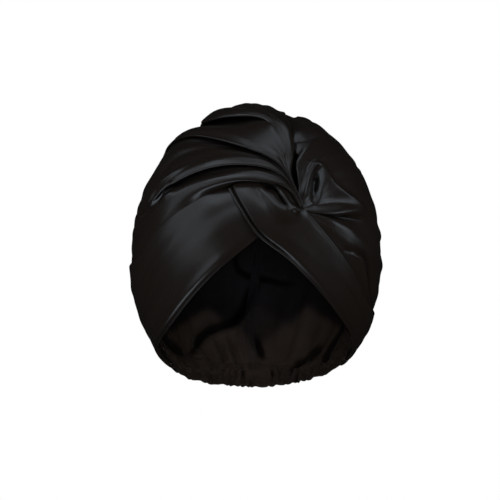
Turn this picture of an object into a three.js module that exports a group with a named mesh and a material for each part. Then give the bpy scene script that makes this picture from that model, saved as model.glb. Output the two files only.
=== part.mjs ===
// Pre-tied satin head wrap with a twisted front, in millimetres.
// The wearer faces -Y, +X is at the right of the front view and +Z is up.
// The origin is the middle of the head opening, level with the front corners of the hem.
import * as THREE from "three";
import { ParametricGeometry } from "three/addons/geometries/ParametricGeometry.js";
import { mergeGeometries, mergeVertices } from "three/addons/utils/BufferGeometryUtils.js";

// Driving sizes of the worn form
const HALF_WIDTH = 106;
const HALF_HEIGHT = 130;
const FRONT_DEPTH = 104;
const BACK_DEPTH = 124;
const CENTRE_HEIGHT = 80;

// Driving sizes of the cloth
const BAND_WALL = 1.5;
const DRAPE_WALL = 1.3;
const BACK_WALL = 1.3;
const SEAM_WALL = 1.0;
const CASING_WALL = 2.2;
const RIM = 0.012;

// The seam that runs over the crown from ear to ear, in degrees from the front
const CROWN_SEAM = 100;
const SEAM_GAP = 0.35;

// The nape hem, in degrees from the back, and where its casing meets the crown seam
const NAPE_TOP = 52;
const NAPE_BOTTOM = 58.5;
const CASING_TOP_LEFT = 226;
const CASING_BOTTOM_LEFT = 231;
const CASING_TOP_RIGHT = 319;
const CASING_BOTTOM_RIGHT = 314;
const HEM_CURVE = 2.4;
const HEM_TRIM = 0.993;
const SIDE_EDGE = 14;

// Gathers held by the elastic at the nape
const GATHERS_PER_HALF = 7;
const GATHER_LIFT = 2.2;
const GATHER_REACH = 0.42;
const RUFFLES = 15;
const RUFFLE_LIFT = 2.0;
const RUFFLE_DROP = 0.01;

// The seam allowance inside the back
const SEAM_ALLOWANCE = 8;
const ALLOWANCE_GAP = 0.5;
const SWAY = 6;
const SWAY_HEIGHT = 20;
const SWAY_REACH = 30;

// How far along a fold each lift applies, from the twist to the crown seam
const LIFT_STATIONS = [0, 0.12, 0.22, 0.34, 0.55, 0.78, 1];

// The two seams where a band meets the drape above it, as front-view x and z
const LEFT_SEAM = [[-27, 145], [-42, 141], [-58, 131], [-75, 114.5], [-91, 98], [-102, 82]];
const RIGHT_SEAM = [[42, 123.5], [54, 110], [68, 92.5], [84, 69], [95, 45]];

// The drape reaches this far under the band below it
const TUCK = 3;

// Folds of each front piece: a path in the front view, the angle at which it reaches
// the crown seam, and its lift off the form at each station
const LEFT_BAND = [
  { fold: "face edge", seam: 231, lift: [-3, -2.6, -1.2, -0.8, -0.6, -0.4, 0],
    path: [[11, 107], [-5, 94.5], [-38, 66.5], [-67, 32], [-83, 0]] },
  { fold: "roll", seam: 227, lift: [-3, -2.4, 0.4, 1.2, 1.4, 1.2, 0.4],
    path: [[9, 111], [-8, 98.5], [-41, 71], [-70, 36], [-86, 5]] },
  { fold: "lower middle", seam: 216, lift: [-3, -2.2, 0.6, 1.5, 1.8, 1.4, 0.5],
    path: [[4, 120], [-14, 110], [-49, 85], [-79, 51], [-93, 24]] },
  { fold: "upper middle", seam: 200, lift: [-3, -2.2, 0.8, 1.7, 2.4, 2.8, 1.2],
    path: [[-3, 130], [-20, 127], [-58, 106], [-87, 78], [-101, 52]] },
  { fold: "upper edge", seam: 184, lift: [-3, -2.2, 0.9, 1.9, 2.4, 3, 1.2],
    path: [[-10, 146], [-22, 147.5], [-32, 143.2], ...LEFT_SEAM.slice(1).map(([x, z]) => [x + 0.3, z - 0.6])] },
];

const RIGHT_BAND = [
  { fold: "face edge", seam: -46, lift: [0.8, 1, 0.8, 0.2, -0.6, -0.6, 0],
    path: [[-23.5, 141], [-14, 124], [2, 101], [32, 77], [66, 38.5], [82, 9]] },
  { fold: "roll", seam: -43, lift: [0.8, 2.4, 2.6, 2, 1.4, 0.8, 0.2],
    path: [[-18, 145.5], [-9, 127], [6, 105], [35, 81.5], [69, 42.5], [85, 12]] },
  { fold: "lower middle", seam: -37, lift: [1.2, 2.2, 2.2, 2, 2.2, 2, 0.8],
    path: [[-4, 150], [-1, 140], [7, 125], [20, 105], [45, 84], [76, 50], [90, 20]] },
  { fold: "tucked fold", seam: -31, lift: [1.2, 1.2, 0.6, 1, 2.8, 3.8, 1.6],
    path: [[12, 151], [15, 140], [24, 126], [36, 106.5], [57, 83.5], [80, 57], [94, 28]] },
  { fold: "upper edge", seam: -22, lift: [1.2, 0.8, 0.4, 0.4, 1, 2.4, 1.2],
    path: [[26, 148], [33, 136], ...RIGHT_SEAM.map(([x, z]) => [x - 0.4, z - 0.5])] },
];

const LEFT_DRAPE = [
  { fold: "lower edge", seam: 187, lift: [4.5, 6, 5.6, -1.6, -1.8, -0.8, -0.9],
    path: [[37, 125], [24, 138], [4, 146], [-12, 147], ...LEFT_SEAM.slice(0, 2),
      ...LEFT_SEAM.slice(2).map(([x, z]) => [x + TUCK * 0.6, z - TUCK * 0.8])] },
  { fold: "low crest", seam: 178, lift: [5, 7.2, 9.2, 7.6, 4.6, 1.6, 0],
    path: [[37.5, 125.5], [25.5, 143], [0, 155.8], [-27, 150], [-62, 140], [-87, 125]] },
  { fold: "low valley", seam: 175, lift: [5, 6.4, 6.4, 4.4, -0.6, -1.2, 0],
    path: [[38, 125.8], [26, 146], [3, 158.5], [-28, 154.5], [-65, 142.5], [-88, 128]] },
  { fold: "middle crest", seam: 171, lift: [5, 7.8, 9.8, 9.2, 6, 2, 0.4],
    path: [[38.3, 126], [25.5, 149], [4, 162.5], [-32, 163.5], [-68, 149], [-89, 132]] },
  { fold: "middle face", seam: 160, lift: [5, 7.2, 7.4, 5.6, 2.4, 1.2, 0.4],
    path: [[38.5, 126.2], [26, 150], [8, 164], [-28, 171], [-66, 164], [-86, 146]] },
  { fold: "upper root", seam: 148, lift: [5, 7, 7, 5.2, 2.4, 0.4, 0],
    path: [[38.7, 126.4], [26.3, 150.8], [9, 165.5], [-26, 176.5], [-62, 177], [-78, 167]] },
  { fold: "upper crest", seam: 141, lift: [5.2, 8.6, 11, 11, 8.8, 4.4, 0.2],
    path: [[38.8, 126.6], [26.7, 152], [11, 168.5], [-24, 180], [-60, 184], [-74, 177]] },
  { fold: "upper face", seam: 128, lift: [5.2, 8.4, 9.8, 9, 6.2, 2.2, 0],
    path: [[39, 126.8], [27.5, 155], [16, 175], [-16, 189], [-50, 193], [-62, 188]] },
  { fold: "crown root", seam: 122, lift: [5.2, 8.4, 9, 7.2, 3, -2, -2],
    path: [[39.2, 127], [28, 158], [19, 181], [-8, 197], [-42, 197], [-54, 193]] },
  { fold: "crown crest", seam: 114, lift: [5.2, 8.8, 10, 9.4, 6.8, 2, 0],
    path: [[39.5, 127.2], [28.6, 160], [21, 184], [-4, 200.5], [-36, 202], [-46, 199]] },
  { fold: "right ridge", seam: 93, lift: [5.2, 9, 11, 12, 8, 2.4, 0.2],
    path: [[40, 127.5], [29.4, 160], [31, 179], [14, 200], [-2, 209]] },
  { fold: "right edge", seam: 80, lift: [4.5, 4.6, 3.8, 2.8, 1.6, 0.6, 0],
    path: [[40.5, 128], [32, 160], [34.5, 178], [29, 194], [25, 203]] },
];

const RIGHT_DRAPE = [
  { fold: "tucked edge", seam: 87, lift: [-2.4, -2.2, -2.4, -2.6, -2.8, -2.6, -2.4],
    path: [[35, 128.5], [28, 148], [22, 172], [17, 190], [12, 202]] },
  { fold: "left face", seam: 70, lift: [-2.4, -1.6, -1, 0.4, 1.8, 1, -0.4],
    path: [[36, 127.5], [37, 149], [40, 172], [40, 187], [37, 198]] },
  { fold: "tent crest", seam: 55, lift: [-2.4, 1.6, 4.6, 5, 2, 2.4, 0.8],
    path: [[37, 126.5], [44, 146], [48, 158], [57, 168], [66, 178]] },
  { fold: "tent valley", seam: 42, lift: [-2.4, -1.6, -1.8, 0.8, 2.2, 2.6, 0.8],
    path: [[37.5, 125.7], [46, 137], [52, 152], [69, 164], [80, 168]] },
  { fold: "tent face", seam: 24, lift: [-2.4, -1, 0.2, 5.2, 3.2, 2.6, 0.8],
    path: [[38, 125], [52, 131.5], [64, 139], [80, 147], [94, 149]] },
  { fold: "tent lower crest", seam: 9, lift: [-2.4, 1.6, 3.2, 4.4, 4.2, 2.4, 0.6],
    path: [[38.4, 124.3], [52, 121], [66, 119], [84, 120], [98, 118]] },
  { fold: "side valley", seam: 1, lift: [-2.4, -1.6, -1.2, -0.8, 0, 1, 0.4],
    path: [[38.8, 123.6], [52, 117.5], [66, 112.5], [82, 107], [98, 101]] },
  { fold: "side crest", seam: -8, lift: [-2.4, 1, 3.8, 4.8, 4.4, 3, 0.2],
    path: [[39.2, 122.9], [52, 116], [66, 108], [83, 96], [97, 84]] },
  { fold: "lower edge", seam: -25, lift: [-2.4, -2, -1.8, -1.8, -1.6, -1.2, -1.2],
    path: [[39.6, 122], ...RIGHT_SEAM.slice(1).map(([x, z]) => [x - TUCK * 0.7, z - TUCK * 0.7])] },
];

// Soft folds of the back, seen through the face opening: a line in the front view,
// how far it is pushed out, and how wide it is
const BACK_FOLDS = [
  { fold: "sag below the crown", from: [-26, 74], to: [46, 58], push: -6, width: 17 },
  { fold: "left sweep", from: [-58, 0], to: [-6, 36], push: 4, width: 13 },
  { fold: "left upper sweep", from: [-66, 18], to: [-14, 44], push: -4, width: 12 },
  { fold: "right sweep", from: [22, -8], to: [60, 22], push: 4, width: 13 },
  { fold: "crown sweep", from: [-60, 120], to: [40, 150], push: 3, width: 30 },
];

const QUARTER = Math.PI / 2;
const DEGREE = Math.PI / 180;

const mix = (a, b, t) => a + (b - a) * t;
const ease = (t) => t * t * (3 - 2 * t);

// A chart spot holds the angle from the pole, in quarter turns, along a compass direction
function seamSpot(angle, polar = CROWN_SEAM) {
  const reach = polar / 90;
  return new THREE.Vector2(reach * Math.cos(angle * DEGREE), reach * Math.sin(angle * DEGREE));
}

// The spot that shows at x and z in the front view once it is lifted off the form
function frontSpot([x, z], lift) {
  const spot = new THREE.Vector2(x / HALF_WIDTH, (z - CENTRE_HEIGHT) / HALF_HEIGHT);
  for (let turn = 0; turn < 3; turn += 1) {
    const facing = Math.sqrt(Math.max(0, 1 - spot.lengthSq()));
    const slope = new THREE.Vector3(spot.x / HALF_WIDTH, facing / FRONT_DEPTH, spot.y / HALF_HEIGHT);
    slope.normalize().multiplyScalar(lift);
    spot.set((x - slope.x) / HALF_WIDTH, (z - CENTRE_HEIGHT - slope.z) / HALF_HEIGHT);
  }
  const sine = Math.min(1, spot.length());
  return spot.setLength(Math.asin(sine) / QUARTER);
}

// The place on the worn form under a chart spot, lifted along the form's normal
function formPlace(spot, lift, pole) {
  const polar = spot.length() * QUARTER;
  const across = polar > 1e-6 ? Math.sin(polar) / spot.length() : QUARTER;
  const way = new THREE.Vector3(spot.x * across, pole * Math.cos(polar), spot.y * across);
  const depth = way.y < 0 ? FRONT_DEPTH : BACK_DEPTH;
  const axes = new THREE.Vector3(HALF_WIDTH, depth, HALF_HEIGHT);
  const normal = way.clone().divide(axes).normalize();
  const place = way.multiply(axes).addScaledVector(normal, lift);
  place.z += CENTRE_HEIGHT;
  return place;
}

function liftAt(lifts, along) {
  let step = 0;
  while (step < LIFT_STATIONS.length - 2 && along > LIFT_STATIONS[step + 1]) {
    step += 1;
  }
  const span = LIFT_STATIONS[step + 1] - LIFT_STATIONS[step];
  return mix(lifts[step], lifts[step + 1], ease((along - LIFT_STATIONS[step]) / span));
}

function compass(spot) {
  const angle = Math.atan2(spot.y, spot.x);
  return angle < -QUARTER ? angle + 4 * QUARTER : angle;
}

// A front piece spread over its folds: across runs from the first fold to the last
function foldedPiece(rows) {
  const guides = rows.map((row) => {
    const end = seamSpot(row.seam, CROWN_SEAM - SEAM_GAP / 2);
    const flat = new THREE.SplineCurve([...row.path.map((point) => frontSpot(point, 0)), end]);
    const runs = flat.getLengths(row.path.length * 20);
    const spots = row.path.map((point, step) => {
      return frontSpot(point, liftAt(row.lift, runs[step * 20] / runs.at(-1)));
    });
    return new THREE.SplineCurve([...spots, end]);
  });
  return (across, along) => {
    const place = across * (rows.length - 1);
    const first = Math.min(rows.length - 2, Math.floor(place));
    const part = place - first;
    const a = guides[first].getPointAt(along);
    const b = guides[first + 1].getPointAt(along);
    const reach = mix(a.length(), b.length(), part);
    const angle = mix(compass(a), compass(b), part);
    const spot = new THREE.Vector2(reach * Math.cos(angle), reach * Math.sin(angle));
    const lift = mix(liftAt(rows[first].lift, along), liftAt(rows[first + 1].lift, along), ease(part));
    return formPlace(spot, lift, -1);
  };
}

// Distance of a chart spot on the back from a fold line, and the push that the fold gives
function backPush(spot) {
  const here = formPlace(spot, 0, 1);
  let push = 0;
  for (const { from, to, push: depth, width } of BACK_FOLDS) {
    const line = new THREE.Line3(new THREE.Vector3(from[0], 0, from[1]), new THREE.Vector3(to[0], 0, to[1]));
    const flat = new THREE.Vector3(here.x, 0, here.z);
    const near = line.closestPointToPoint(flat, true, new THREE.Vector3());
    const away = near.distanceTo(flat) / width;
    push += depth * Math.exp(-away * away);
  }
  return push;
}

// The nape hem as a chart spot on the back, at a compass angle
function hemSpot(angle, middle, left, right) {
  const span = angle < 270 ? (270 - angle) / (270 - left) : (angle - 270) / (right - 270);
  const polar = mix(middle, 180 - CROWN_SEAM, Math.pow(span, HEM_CURVE));
  return seamSpot(angle, polar);
}

// The middle seam of the back hangs a little to one side
function sway(spot) {
  const height = CENTRE_HEIGHT + HALF_HEIGHT * Math.sin(spot.y * QUARTER);
  const low = (height - SWAY_HEIGHT) / SWAY_REACH;
  return -SWAY / HALF_WIDTH / QUARTER * Math.exp(-low * low);
}

// One half of the back: across runs from the middle seam to the side, along from hem to crown
function backHalf(side) {
  const hemEnd = side < 0 ? CASING_TOP_LEFT : CASING_TOP_RIGHT;
  const crownEnd = hemEnd + side * SIDE_EDGE;
  const crownMiddle = side < 0 ? 90 : 450;
  const edge = 180 - CROWN_SEAM - SEAM_GAP / 2;
  return (across, along) => {
    const hemAngle = mix(270, hemEnd, across);
    const crownAngle = mix(crownMiddle, crownEnd, across);
    const hem = hemSpot(hemAngle, NAPE_TOP, CASING_TOP_LEFT, CASING_TOP_RIGHT);
    hem.multiplyScalar(mix(HEM_TRIM, 1, Math.pow(across, 4)));
    hem.clampLength(0, edge / 90);
    const crown = seamSpot(crownAngle, edge);
    const reach = mix(hem.length(), crown.length(), along);
    const round = seamSpot(mix(hemAngle, crownAngle, along), reach * 90);
    const spot = hem.lerp(crown, along).lerp(round, Math.pow(across, 5));
    spot.x += side * 0.5 / HALF_WIDTH * Math.pow(1 - across, 8) + sway(spot) * Math.pow(1 - across, 3);
    const fade = Math.max(0, 1 - along / GATHER_REACH) * Math.min(1, along * 9);
    const gather = Math.sin(across * GATHERS_PER_HALF * 2 * Math.PI + side) * GATHER_LIFT * fade;
    const middle = ease(Math.min(1, Math.max(0, across - 0.06) * 6));
    const calm = Math.min(1, (1 - across) * 6);
    return formPlace(spot, gather * middle * calm + backPush(spot) * calm, 1);
  };
}

// The casing hangs from the back halves and runs from side to side under them
function casing(across, along) {
  const topAngle = mix(CASING_TOP_LEFT, CASING_TOP_RIGHT, across);
  const lowAngle = mix(CASING_BOTTOM_LEFT, CASING_BOTTOM_RIGHT, across);
  const top = hemSpot(topAngle, NAPE_TOP, CASING_TOP_LEFT, CASING_TOP_RIGHT);
  const low = hemSpot(lowAngle, NAPE_BOTTOM, CASING_BOTTOM_LEFT, CASING_BOTTOM_RIGHT);
  const swing = across * RUFFLES * 2 * Math.PI + 0.8 * Math.sin(across * 31);
  const calm = Math.min(1, across * 14) * Math.min(1, (1 - across) * 14);
  const spot = top.lerp(low, along);
  spot.multiplyScalar(1 + RUFFLE_DROP * Math.sin(swing * 0.5 + 1) * along * calm);
  return formPlace(spot, RUFFLE_LIFT * Math.sin(swing) * calm * along, 1);
}

// The seam allowance lies against the inner face of the two back halves
function allowance(across, along) {
  const under = BACK_WALL / 2 + ALLOWANCE_GAP + SEAM_WALL / 2;
  const low = hemSpot(270, NAPE_TOP, CASING_TOP_LEFT, CASING_TOP_RIGHT).multiplyScalar(HEM_TRIM);
  const high = seamSpot(90, 180 - CROWN_SEAM - SEAM_GAP / 2);
  const spot = low.lerp(high, along);
  spot.x += (across - 0.5) * SEAM_ALLOWANCE / HALF_WIDTH / QUARTER + sway(spot);
  return formPlace(spot, backPush(spot) - under, 1);
}

// Cell lines across a sheet, with one close to each rim so that the wall is full there
function cellLine(step, cells) {
  if (step === 0 || step === cells) {
    return step / cells;
  }
  return mix(RIM, 1 - RIM, (step - 1) / (cells - 2));
}

// A closed wall around a middle surface: two faces that meet along the rim
function clothWall(surface, across, along, wall, outward) {
  const face = (side) => (u, v, target) => {
    const i = Math.round(u * across);
    const j = Math.round(v * along);
    const s = cellLine(i, across);
    const t = cellLine(j, along);
    target.copy(surface(s, t));
    if (i > 0 && i < across && j > 0 && j < along) {
      const step = 0.004;
      const du = surface(Math.min(1, s + step), t).sub(surface(Math.max(0, s - step), t));
      const dv = surface(s, Math.min(1, t + step)).sub(surface(s, Math.max(0, t - step)));
      target.addScaledVector(du.cross(dv).normalize(), outward * side * wall / 2);
    }
  };
  const outer = new ParametricGeometry(face(1), across, along);
  const inner = new ParametricGeometry(face(-1), across, along);
  const turned = outward > 0 ? inner : outer;
  const order = turned.getIndex();
  for (let k = 0; k < order.count; k += 3) {
    const keep = order.getX(k);
    order.setX(k, order.getX(k + 1));
    order.setX(k + 1, keep);
  }
  for (const geometry of [outer, inner]) {
    geometry.deleteAttribute("normal");
    geometry.deleteAttribute("uv");
  }
  const closed = mergeVertices(mergeGeometries([outer, inner]), 1e-4);
  closed.computeVertexNormals();
  return closed;
}

const wrap = new THREE.Group();
wrap.name = "twist_head_wrap";

function addPiece(name, geometry, colour, roughness) {
  const material = new THREE.MeshStandardMaterial({ color: colour, roughness, metalness: 0 });
  const piece = new THREE.Mesh(geometry, material);
  piece.name = name;
  wrap.add(piece);
}

addPiece("left_band", clothWall(foldedPiece(LEFT_BAND), 12, 24, BAND_WALL, 1), 0x1b1714, 0.4);
addPiece("right_band", clothWall(foldedPiece(RIGHT_BAND), 12, 28, BAND_WALL, -1), 0x1b1714, 0.4);
addPiece("left_drape", clothWall(foldedPiece(LEFT_DRAPE), 34, 16, DRAPE_WALL, -1), 0x1a1613, 0.4);
addPiece("right_drape", clothWall(foldedPiece(RIGHT_DRAPE), 26, 16, DRAPE_WALL, -1), 0x1a1613, 0.4);
addPiece("back_left", clothWall(backHalf(-1), 24, 14, BACK_WALL, 1), 0x191512, 0.42);
addPiece("back_right", clothWall(backHalf(1), 24, 14, BACK_WALL, -1), 0x191512, 0.42);
addPiece("back_seam", clothWall(allowance, 4, 14, SEAM_WALL, 1), 0x171310, 0.5);
addPiece("hem_casing", clothWall(casing, 92, 5, CASING_WALL, 1), 0x191512, 0.45);

export default wrap;
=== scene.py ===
"""Dresses the twist-front head wrap as black satin cloth, folded over its worn form."""

import logging
import math
from dataclasses import dataclass
from enum import Enum

import bmesh
import bpy
import numpy as np
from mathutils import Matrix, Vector


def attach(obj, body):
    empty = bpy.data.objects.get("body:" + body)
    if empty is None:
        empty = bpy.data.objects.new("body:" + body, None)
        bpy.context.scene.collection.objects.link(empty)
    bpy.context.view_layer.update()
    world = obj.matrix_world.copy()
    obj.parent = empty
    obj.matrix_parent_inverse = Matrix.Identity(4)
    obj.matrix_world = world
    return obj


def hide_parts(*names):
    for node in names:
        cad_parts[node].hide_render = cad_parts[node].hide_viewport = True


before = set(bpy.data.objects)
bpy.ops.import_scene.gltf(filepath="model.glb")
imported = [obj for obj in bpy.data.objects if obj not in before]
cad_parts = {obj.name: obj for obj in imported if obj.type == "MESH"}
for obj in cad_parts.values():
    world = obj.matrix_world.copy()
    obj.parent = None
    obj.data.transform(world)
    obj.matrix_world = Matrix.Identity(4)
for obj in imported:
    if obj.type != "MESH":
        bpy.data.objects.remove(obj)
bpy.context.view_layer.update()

Array = np.ndarray
Point = tuple[float, float]
Triple = tuple[float, float, float]
Socket = bpy.types.NodeSocket

LOG = logging.getLogger("head_wrap")
METRES = 0.001
QUARTER = math.pi / 2
MEAN_RADIUS = 112.0
CHART_MM = MEAN_RADIUS * QUARTER
SPLINE_STEPS = 40
CREASE_STEPS = 48
CREST_ROUND = 0.01


class Pole(Enum):
    """The end of the form that a chart is centred on."""

    FRONT = -1
    BACK = 1


class Side(Enum):
    """A half of the wrap, as seen from the front."""

    LEFT = -1
    RIGHT = 1


class Use(Enum):
    """What a light panel is there for."""

    SHINE = "shine"
    FILL = "fill"


class Held(Enum):
    """How a sheet of cloth is held in its worn form."""

    FOLDED = "folded"
    GATHERED = "gathered"
    STRETCHED = "stretched"


def ease(value: Array) -> Array:
    """Smooth step of values clipped to the range from 0 to 1."""
    clipped = np.clip(value, 0.0, 1.0)
    return clipped * clipped * (3 - 2 * clipped)


def mix(first: Array, second: Array, share: Array) -> Array:
    """Blend of two values by a share."""
    return first + (second - first) * share


def spline(points: Array, steps: int = SPLINE_STEPS) -> Array:
    """Draw a smooth line through points.

    Args:
        points: The points to pass through, one row each.
        steps: How many samples lie between neighbouring points.

    Returns:
        The samples of the line, one row each.
    """
    last = len(points) - 1
    spot = np.linspace(0, last, last * steps + 1)
    knot = np.minimum(spot.astype(int), last - 1)
    share = (spot - knot)[:, None]
    before = points[np.maximum(knot - 1, 0)]
    start = points[knot]
    end = points[knot + 1]
    after = points[np.minimum(knot + 2, last)]
    leave = (end - before) / 2
    arrive = (after - start) / 2
    cubic = 2 * start - 2 * end + leave + arrive
    square = 3 * end - 3 * start - 2 * leave - arrive
    return ((cubic * share + square) * share + leave) * share + start


def run_of(line: Array) -> Array:
    """Length run along a line of points, from 0 at its start."""
    steps = np.linalg.norm(np.diff(line, axis=0), axis=1)
    return np.concatenate([[0.0], np.cumsum(steps)])


def resample(line: Array, shares: Array) -> Array:
    """Points of a line at shares of its length."""
    run = run_of(line)
    return np.stack([np.interp(shares * run[-1], run, line[:, k]) for k in range(line.shape[1])], -1)


def steady(knots: Array, values: Array, spots: Array) -> Array:
    """Interpolate without overshoot, with level crests and valleys.

    Args:
        knots: Rising places of the values.
        values: The values to pass through.
        spots: Where to read the curve.

    Returns:
        The values at the spots.
    """
    gaps = np.diff(knots)
    slopes = np.diff(values) / gaps
    inner = np.zeros(len(values))
    inner[0], inner[-1] = slopes[0], slopes[-1]
    for k in range(1, len(values) - 1):
        if slopes[k - 1] * slopes[k] > 0:
            first = 2 * gaps[k] + gaps[k - 1]
            second = gaps[k] + 2 * gaps[k - 1]
            inner[k] = (first + second) / (first / slopes[k - 1] + second / slopes[k])
    step = np.clip(np.searchsorted(knots, spots, side="right") - 1, 0, len(gaps) - 1)
    share = (spots - knots[step]) / gaps[step]
    return hermite(values[step], values[step + 1], inner[step], inner[step + 1], gaps[step], share)


def hermite(start: Array, end: Array, leave: Array, arrive: Array, gap: Array, share: Array) -> Array:
    """Cubic between two values with given slopes.

    Args:
        start: Values at the start.
        end: Values at the end.
        leave: Slopes at the start.
        arrive: Slopes at the end.
        gap: Length of the span.
        share: Place within the span, from 0 to 1.

    Returns:
        The values at the shares.
    """
    square = share * share
    cube = square * share
    return (
        start * (2 * cube - 3 * square + 1)
        + end * (3 * square - 2 * cube)
        + leave * gap * (cube - 2 * square + share)
        + arrive * gap * (cube - square)
    )


def crest(square: Array, power: float) -> Array:
    """Rounded crest of height 1, by the squared distance from its line in widths."""
    return np.exp(-((square + CREST_ROUND) ** (power / 2)) + CREST_ROUND ** (power / 2))


def rimmed(cells: int, rim: float) -> Array:
    """Cell lines from 0 to 1 with close lines at both ends, where the rim is rounded.

    Args:
        cells: How many cells lie between the ends.
        rim: Width of the rounded rim as a share of the length.

    Returns:
        The places of the cell lines.
    """
    close = rim * np.array([0.0, 0.06, 0.25, 0.6])
    middle = np.linspace(rim * 1.1, 1 - rim * 1.1, cells + 1 - 2 * len(close))
    return np.concatenate([close, middle, 1 - close[::-1]])


@dataclass(frozen=True)
class WornForm:
    """The rounded form that the wrap keeps when worn, in millimetres and degrees."""

    half_width: float = 106.0
    half_height: float = 130.0
    front_depth: float = 104.0
    back_depth: float = 124.0
    centre_height: float = 80.0
    crown_seam: float = 100.0
    seam_gap: float = 0.35

    def seam_spot(self, angle: Array, polar: Array) -> Array:
        """Chart spots at compass angles and angles from the pole, in degrees."""
        turn = np.radians(angle)
        reach = np.asarray(polar) / 90
        return np.stack([reach * np.cos(turn), reach * np.sin(turn)], -1)

    def front_spot(self, seen: Array, lift: Array) -> Array:
        """Find the chart spots that show at places of the front view once lifted.

        Args:
            seen: Front-view x and z, one row each.
            lift: Lift off the form at each.

        Returns:
            The chart spots about the front pole.
        """
        size = np.array([self.half_width, self.half_height])
        flat = seen - np.array([0.0, self.centre_height])
        spot = flat / size
        for _ in range(3):
            facing = np.sqrt(np.maximum(0, 1 - (spot**2).sum(-1)))
            slope = np.stack([spot[:, 0] / size[0], facing / self.front_depth, spot[:, 1] / size[1]], -1)
            slope *= (lift / np.linalg.norm(slope, axis=-1))[:, None]
            spot = (flat - slope[:, [0, 2]]) / size
        sine = np.maximum(1e-9, np.linalg.norm(spot, axis=-1))
        reach = np.arcsin(np.minimum(1, sine)) / QUARTER
        return spot * (reach / sine)[:, None]

    def place(self, spot: Array, lift: Array, pole: Pole) -> Array:
        """Places over chart spots, lifted along the form's normal.

        Args:
            spot: Chart spots, in quarter turns from the pole.
            lift: Lift off the form at each.
            pole: The pole that the chart is centred on.

        Returns:
            The places in millimetres.
        """
        reach = np.maximum(1e-9, np.linalg.norm(spot, axis=-1))
        polar = reach * QUARTER
        share = np.sin(polar) / reach
        way = np.stack([spot[..., 0] * share, pole.value * np.cos(polar), spot[..., 1] * share], -1)
        depth = np.where(way[..., 1] < 0, self.front_depth, self.back_depth)
        wide, high = np.full_like(depth, self.half_width), np.full_like(depth, self.half_height)
        axes = np.stack([wide, depth, high], -1)
        normal = way / axes
        normal /= np.linalg.norm(normal, axis=-1)[..., None]
        place = way * axes + normal * lift[..., None]
        place[..., 2] += self.centre_height
        return place


FORM = WornForm()


@dataclass(frozen=True)
class Fold:
    """One fold of a front piece: its path in the front view and its lift off the form."""

    name: str
    seam: float
    lift: tuple[float, ...]
    path: tuple[Point, ...]

    STATIONS = np.array([0.0, 0.12, 0.22, 0.34, 0.55, 0.78, 1.0])

    def lift_at(self, along: Array) -> Array:
        """Lift at shares of the way from the twist to the crown seam."""
        return steady(self.STATIONS, np.array(self.lift), along)

    def guide(self, along: Array) -> Array:
        """Chart spots of the fold at shares of its length."""
        path = np.array(self.path)
        end = FORM.seam_spot(self.seam, FORM.crown_seam - FORM.seam_gap / 2)
        flat = spline(np.vstack([FORM.front_spot(path, np.zeros(len(path))), end]))
        run = run_of(flat)
        lifts = self.lift_at(run[::SPLINE_STEPS][:-1] / run[-1])
        return resample(spline(np.vstack([FORM.front_spot(path, lifts), end])), along)


@dataclass(frozen=True)
class Crease:
    """A ridge or furrow drawn on a piece along a line of the front view."""

    name: str
    path: tuple[Point, ...]
    height: tuple[float, ...]
    left: float
    right: float
    power: float = 2.0

    def push(self, chart: Array) -> Array:
        """Lift that the crease gives at places of the chart.

        Args:
            chart: Chart places in millimetres.

        Returns:
            The lifts.
        """
        path = np.array(self.path)
        spots = FORM.front_spot(path, np.zeros(len(path)))
        line = resample(spline(spots * CHART_MM), np.linspace(0, 1, CREASE_STEPS))
        start, way = line[:-1], np.diff(line, axis=0)
        length = (way**2).sum(1)
        flat = chart.reshape(-1, 2)
        best = np.full(len(flat), 1e9)
        share = np.zeros(len(flat))
        hand = np.zeros(len(flat))
        for k in range(len(way)):
            off = flat - start[k]
            along = np.clip(off @ way[k] / length[k], 0, 1)
            gap = off - along[:, None] * way[k]
            away = (gap**2).sum(1)
            near = away < best
            best[near] = away[near]
            share[near] = (k + along[near]) / len(way)
            hand[near] = way[k, 0] * off[near, 1] - way[k, 1] * off[near, 0]
        width = np.where(hand > 0, self.left, self.right)
        rise = np.interp(share, np.linspace(0, 1, len(self.height)), self.height)
        return (rise * crest(best / width**2, self.power)).reshape(chart.shape[:-1])


@dataclass(frozen=True)
class Pleat:
    """A narrow ridge or furrow that follows the folds of a front piece."""

    name: str
    row: float
    height: tuple[float, ...]
    below: float
    above: float
    power: float = 2.0

    def push(self, reach: Array, rows: Array, along: Array) -> Array:
        """Lift that the pleat gives over the piece.

        Args:
            reach: Distance across the cloth at each fold and cell line.
            rows: Fold numbers of the grid, with fractions between folds.
            along: Cell lines along the piece.

        Returns:
            The lifts.
        """
        numbers = np.arange(len(reach))
        here = np.stack([np.interp(rows, numbers, line) for line in reach.T], -1)
        centre = np.array([np.interp(self.row, numbers, line) for line in reach.T])
        away = here - centre
        away = np.abs(away) / np.where(away < 0, self.below, self.above)
        return steady(Fold.STATIONS, np.array(self.height), along) * crest(away**2, self.power)


@dataclass(frozen=True)
class Ripple:
    """Small uneven waves of the cloth, longer along the folds than across them."""

    seed: int
    rise: float
    across: Point
    along: Point
    waves: int = 12

    def push(self, across: Array, along: Array) -> Array:
        """Lift of the waves at cloth distances in millimetres."""
        draw = np.random.default_rng(self.seed)
        total = np.zeros(np.broadcast(across, along).shape)
        for _ in range(self.waves):
            width = draw.uniform(*self.across)
            reach = draw.uniform(*self.along) * draw.choice([-1, 1])
            phase = draw.uniform(0, 2 * math.pi)
            wave = np.sin(2 * math.pi * (across / width + along / reach) + phase)
            total = total + wave * width / self.across[1]
        return total * self.rise / math.sqrt(self.waves / 2)


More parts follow.
